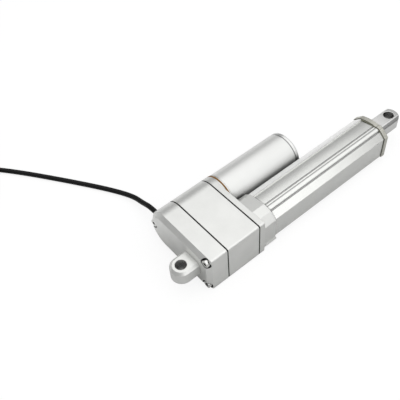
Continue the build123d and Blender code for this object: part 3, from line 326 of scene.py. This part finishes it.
# Finish of each of the record's slots, with how dark and how far the painted shade in its crevices reaches
SLOT_FINISHES = {
    "cast_silver": dict(CAST, painted_shade=0.95, painted_shade_reach=0.008, painted_shade_ao_span=(0.3, 0.66)),
    "anodised": dict(colour=(0.795, 0.80, 0.78), rough=0.25, metallic=0.85, spread=0.02,
                     stretch=(0.02, 1, 1), grain=1600, depth=0.000001, fleck=0.02, shift=0.015,
                     painted_shade=0.95, painted_shade_reach=0.0025, painted_shade_ao_span=(0.6, 0.95), painted_strip=FAR_PAINTED_STRIP),
    "motor_silver": dict(colour=(0.78, 0.785, 0.775), rough=0.30, metallic=0.85, spread=0.02, fleck=0.03,
                         depth=0.000008, painted_shade=0.9, painted_shade_reach=0.010),
    "rod_metal": dict(colour=(0.80, 0.80, 0.79), rough=0.13, metallic=1.0, spread=0.03, stretch=(30, 1, 1),
                      grain=300, depth=0.000002, edge=0.0005, fleck=0.03, shift=0.03, painted_shade=0.95,
                      painted_shade_reach=0.0096),
    "screw_steel": dict(colour=(0.78, 0.78, 0.76), rough=0.2, metallic=1.0, wear_and_sheen=0.3, painted_shade=0.95),
    "machined_steel": dict(colour=(0.56, 0.56, 0.57), rough=0.3, metallic=1.0, stretch=(8, 1, 1), grain=900),
    "bearing_steel": dict(colour=(0.62, 0.62, 0.64), rough=0.18, metallic=1.0),
    "magnet_ferrite": dict(colour=(0.08, 0.08, 0.085), rough=0.6, metallic=0.1),
    "core_steel": dict(colour=(0.28, 0.28, 0.29), rough=0.45, metallic=0.8, stretch=(20, 1, 1), grain=500),
    "winding_copper": dict(colour=(0.55, 0.22, 0.09), rough=0.3, metallic=0.7, stretch=(0.05, 1, 1),
                           depth=0.0001),
    "commutator_copper": dict(colour=(0.72, 0.38, 0.22), rough=0.3, metallic=1.0),
    "sintered_bronze": dict(colour=(0.52, 0.36, 0.18), rough=0.5, metallic=0.9, grain=2500, depth=0.00006),
    "brush_carbon": dict(colour=(0.03, 0.03, 0.03), rough=0.55),
    "nylon_white": dict(colour=(0.82, 0.80, 0.74), rough=0.45),
    "amber_plastic": dict(colour=(0.25, 0.12, 0.02), rough=0.5, spread=0.15, blotch=200, specular=0.2),
    "black_plastic": dict(colour=(0.02, 0.02, 0.021), rough=0.4, grain=2500),
    "black_rubber": dict(colour=(0.018, 0.018, 0.018), rough=0.5),
    "seal_grey": dict(colour=(0.010, 0.011, 0.0105), rough=0.6, wear_and_sheen=0.0, specular=0.1),
    "board_green": dict(colour=(0.03, 0.20, 0.07), rough=0.35),
    "cord_black": dict(colour=(0.003, 0.003, 0.0033), rough=0.42, spread=0.2, grain=900, wear_and_sheen=0.0,
                       specular=0.22),
    "core_jacket": dict(colour=(0.42, 0.04, 0.03), rough=0.35),
}
# Nodes whose finish differs from their slot's, with the name of each material
NODE_FINISHES = {
    "rear_cover": ("cover_cast", dict(CAST, painted_shade=0.95, painted_shade_reach=0.0108, painted_shade_ao_span=(0.3, 0.58))),
    "front_flange": ("flange_cast", dict(CAST, colour=(0.76, 0.765, 0.745), painted_shade=0.9, painted_shade_reach=0.004,
                                         painted_shade_ao_span=(0.3, 0.62))),
    "front_cap": ("cap_cast", dict(CAST, colour=(0.58, 0.575, 0.52), rough=0.42, metallic=0.7, spread=0.08,
                                   blotch=300, edge=0.0006, wear_and_sheen=0.3, painted_shade=0.8)),
    "cap_gasket": ("gasket_olive", dict(colour=(0.25, 0.25, 0.19), rough=0.6, wear_and_sheen=0.0, specular=0.2)),
    "brush_plate": ("plate_black", dict(colour=(0.004, 0.004, 0.004), rough=0.6, wear_and_sheen=0.0, specular=0.05)),
}
finishes = {slot: material(slot, **look) for slot, look in SLOT_FINISHES.items()}
own_finish = {node: material(name, **look) for node, (name, look) in NODE_FINISHES.items()}

for name, node in NODES.items():
    for place in node.material_slots:
        place.material = own_finish.get(name, finishes[place.material.name.split(".")[0]])
supply_cord.data.materials.append(finishes["cord_black"])


def box(node):
    """Lower and upper corner of a node's bounding box, in metres."""
    corners = [node.matrix_world @ Vector(corner) for corner in node.bound_box]
    return [Vector([pick(place[axis] for place in corners) for axis in range(3)]) for pick in (min, max)]


# Bare label wrapped round the motor's can, and the lip of the amber ring at its foot
can_low, can_high = box(NODES["motor_can"])
ring_low, ring_high = box(NODES["motor_base_ring"])
MOTOR_AXIS = (can_low + can_high) / 2
CAN_RADIUS = (can_high.y - can_low.y) / 2
LABEL_THICKNESS = 0.00012
LABEL_FROM_RING = 0.0016
LABEL_FROM_END = 0.0012
LABEL_SPAN = (-78, 118)
LIP_THICKNESS = 0.00045
LIP_WIDTH = 0.0013
LIP_SPAN = (-180, 180)
WRAP_STEPS = 64
SECTION = ((0, 0), (0, 1), (1, 1), (1, 0))


def wrap(name, ends, thickness, span, finish):
    """Sheet bent round the motor's can: its ends along X, its thickness and the degrees that it covers."""
    radii = (CAN_RADIUS, CAN_RADIUS + thickness)
    closed = span[1] - span[0] == 360
    form = bmesh.new()
    rings = []
    for step in range(WRAP_STEPS + (not closed)):
        around = math.radians(span[0] + (span[1] - span[0]) * step / WRAP_STEPS)
        rings.append([
            form.verts.new((
                ends[along],
                MOTOR_AXIS.y + radii[proud] * math.sin(around),
                MOTOR_AXIS.z + radii[proud] * math.cos(around),
            ))
            for along, proud in SECTION
        ])
    for first, second in zip(rings, rings[1:] + rings[:closed]):
        for side in range(len(SECTION)):
            form.faces.new((first[side], first[side - 3], second[side - 3], second[side]))
    if not closed:
        form.faces.new(rings[0])
        form.faces.new(rings[-1])
    bmesh.ops.recalc_face_normals(form, faces=form.faces)
    mesh = bpy.data.meshes.new(name)
    form.to_mesh(mesh)
    form.free()
    mesh.materials.append(finish)
    sheet = bpy.data.objects.new(name, mesh)
    scene.collection.objects.link(sheet)
    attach(sheet, "housing")


label_foil = material("label_foil", colour=(0.82, 0.825, 0.81), rough=0.38, metallic=0.6, spread=0.015,
                      depth=0.000004, edge=0.00008, wear_and_sheen=0.1, fleck=0.02, painted_shade=0.85, painted_shade_reach=0.010)
wrap(
    "motor_label",
    ends=(ring_high.x + LABEL_FROM_RING, can_high.x - LABEL_FROM_END),
    thickness=LABEL_THICKNESS,
    span=LABEL_SPAN,
    finish=label_foil,
)
wrap(
    "base_ring_lip",
    ends=(ring_low.x, ring_low.x + LIP_WIDTH),
    thickness=LIP_THICKNESS,
    span=LIP_SPAN,
    finish=finishes["amber_plastic"],
)

# Floor: pale to the camera; to reflected rays it carries painted shade, a little darker on the camera's side
# where the metal reflects it
FLOOR = cad_low.z
FLOOR_REACH = 6.0
FLOOR_COLOUR = (0.92, 0.92, 0.92, 1)
FLOOR_SHADE_CHANGE = (0.03, 0.07)
REFLECTED_WITH_PAINTED_SHADE = (0.63, 0.92)
GLOW_SHARE = 0.8
GLOW = 1.06
WHITE = (1, 1, 1, 1)

floor_mesh = bpy.data.meshes.new("floor")
form = bmesh.new()
bmesh.ops.create_grid(form, x_segments=1, y_segments=1, size=FLOOR_REACH)
form.to_mesh(floor_mesh)
form.free()
floor = bpy.data.objects.new("floor", floor_mesh)
floor.location.z = FLOOR
scene.collection.objects.link(floor)

pale = bpy.data.materials.new("pale_floor")
pale.use_nodes = True
tree = pale.node_tree
nodes, links = tree.nodes, tree.links
nodes.remove(nodes["Principled BSDF"])
seen = nodes.new("ShaderNodeLightPath").outputs["Is Camera Ray"]
where = nodes.new("ShaderNodeSeparateXYZ")
links.new(nodes.new("ShaderNodeNewGeometry").outputs["Position"], where.inputs["Vector"])
# Painted shade on the floor as reflections see it, darker on the camera's side
reflected_with_painted_shade = ranged(tree, where.outputs["Y"], *FLOOR_SHADE_CHANGE, *REFLECTED_WITH_PAINTED_SHADE)
matte = nodes.new("ShaderNodeBsdfDiffuse")
links.new(blended(tree, seen, reflected_with_painted_shade, FLOOR_COLOUR), matte.inputs["Color"])
glow = nodes.new("ShaderNodeEmission")
glow.inputs["Color"].default_value = WHITE
glow.inputs["Strength"].default_value = GLOW
both = nodes.new("ShaderNodeMixShader")
links.new(ranged(tree, seen, 0.0, 1.0, 0.0, GLOW_SHARE), both.inputs[0])
links.new(matte.outputs["BSDF"], both.inputs[1])
links.new(glow.outputs["Emission"], both.inputs[2])
links.new(both.outputs["Shader"], nodes["Material Output"].inputs["Surface"])
floor.data.materials.append(pale)

# World: white to the camera, and otherwise a dim sky with a bright low backdrop on the far side
HORIZON = (0.25, 0.25, 0.25, 1)
ZENITH = (0.7, 0.7, 0.7, 1)
HORIZON_TOP = 0.35
BACKDROP = (0.9, 0.9, 0.9, 1)
BACKDROP_TOP = (0.16, 0.04)
BACKDROP_SIDE = (0.1, 0.4)

world = bpy.data.worlds.new("studio")
world.use_nodes = True
scene.world = world
tree = world.node_tree
nodes, links = tree.nodes, tree.links
away = nodes.new("ShaderNodeSeparateXYZ")
links.new(nodes.new("ShaderNodeTexCoord").outputs["Generated"], away.inputs["Vector"])
sky = nodes.new("ShaderNodeValToRGB")
sky.color_ramp.elements[0].color = HORIZON
sky.color_ramp.elements[0].position = HORIZON_TOP
sky.color_ramp.elements[1].color = ZENITH
links.new(away.outputs["Z"], sky.inputs["Fac"])
low_sky = ranged(tree, away.outputs["Z"], *BACKDROP_TOP)
far_side = ranged(tree, away.outputs["Y"], *BACKDROP_SIDE)
studio = blended(tree, reckoned(tree, "MULTIPLY", low_sky, far_side), sky.outputs["Color"], BACKDROP)
seen = nodes.new("ShaderNodeLightPath").outputs["Is Camera Ray"]
links.new(blended(tree, seen, studio, WHITE), nodes["Background"].inputs["Color"])


def lamp(name, where, aim, size, power):
    """Soft rectangular lamp that looks at a point."""
    light = bpy.data.lights.new(name, "AREA")
    light.shape = "RECTANGLE"
    light.size, light.size_y = size
    light.energy = power
    shown = bpy.data.objects.new(name, light)
    shown.location = where
    shown.rotation_euler = (Vector(aim) - Vector(where)).to_track_quat("-Z", "Y").to_euler()
    scene.collection.objects.link(shown)


# Lamps above the object, above the floor on its near side, and out in front of that side
lamp("overhead", where=(0.29, 0.35, 1.0), aim=(0.29, 0.35, 0), size=(1.76, 1.3), power=4.9)
lamp("nearside", where=(0.45, -1.10, 1.0), aim=(0.45, -1.10, 0), size=(2.1, 1.6), power=8.4)
lamp("flank", where=(0.6, -1.75, 0.8), aim=(0.6, 0, 0), size=(2.2, 0.65), power=3.2)
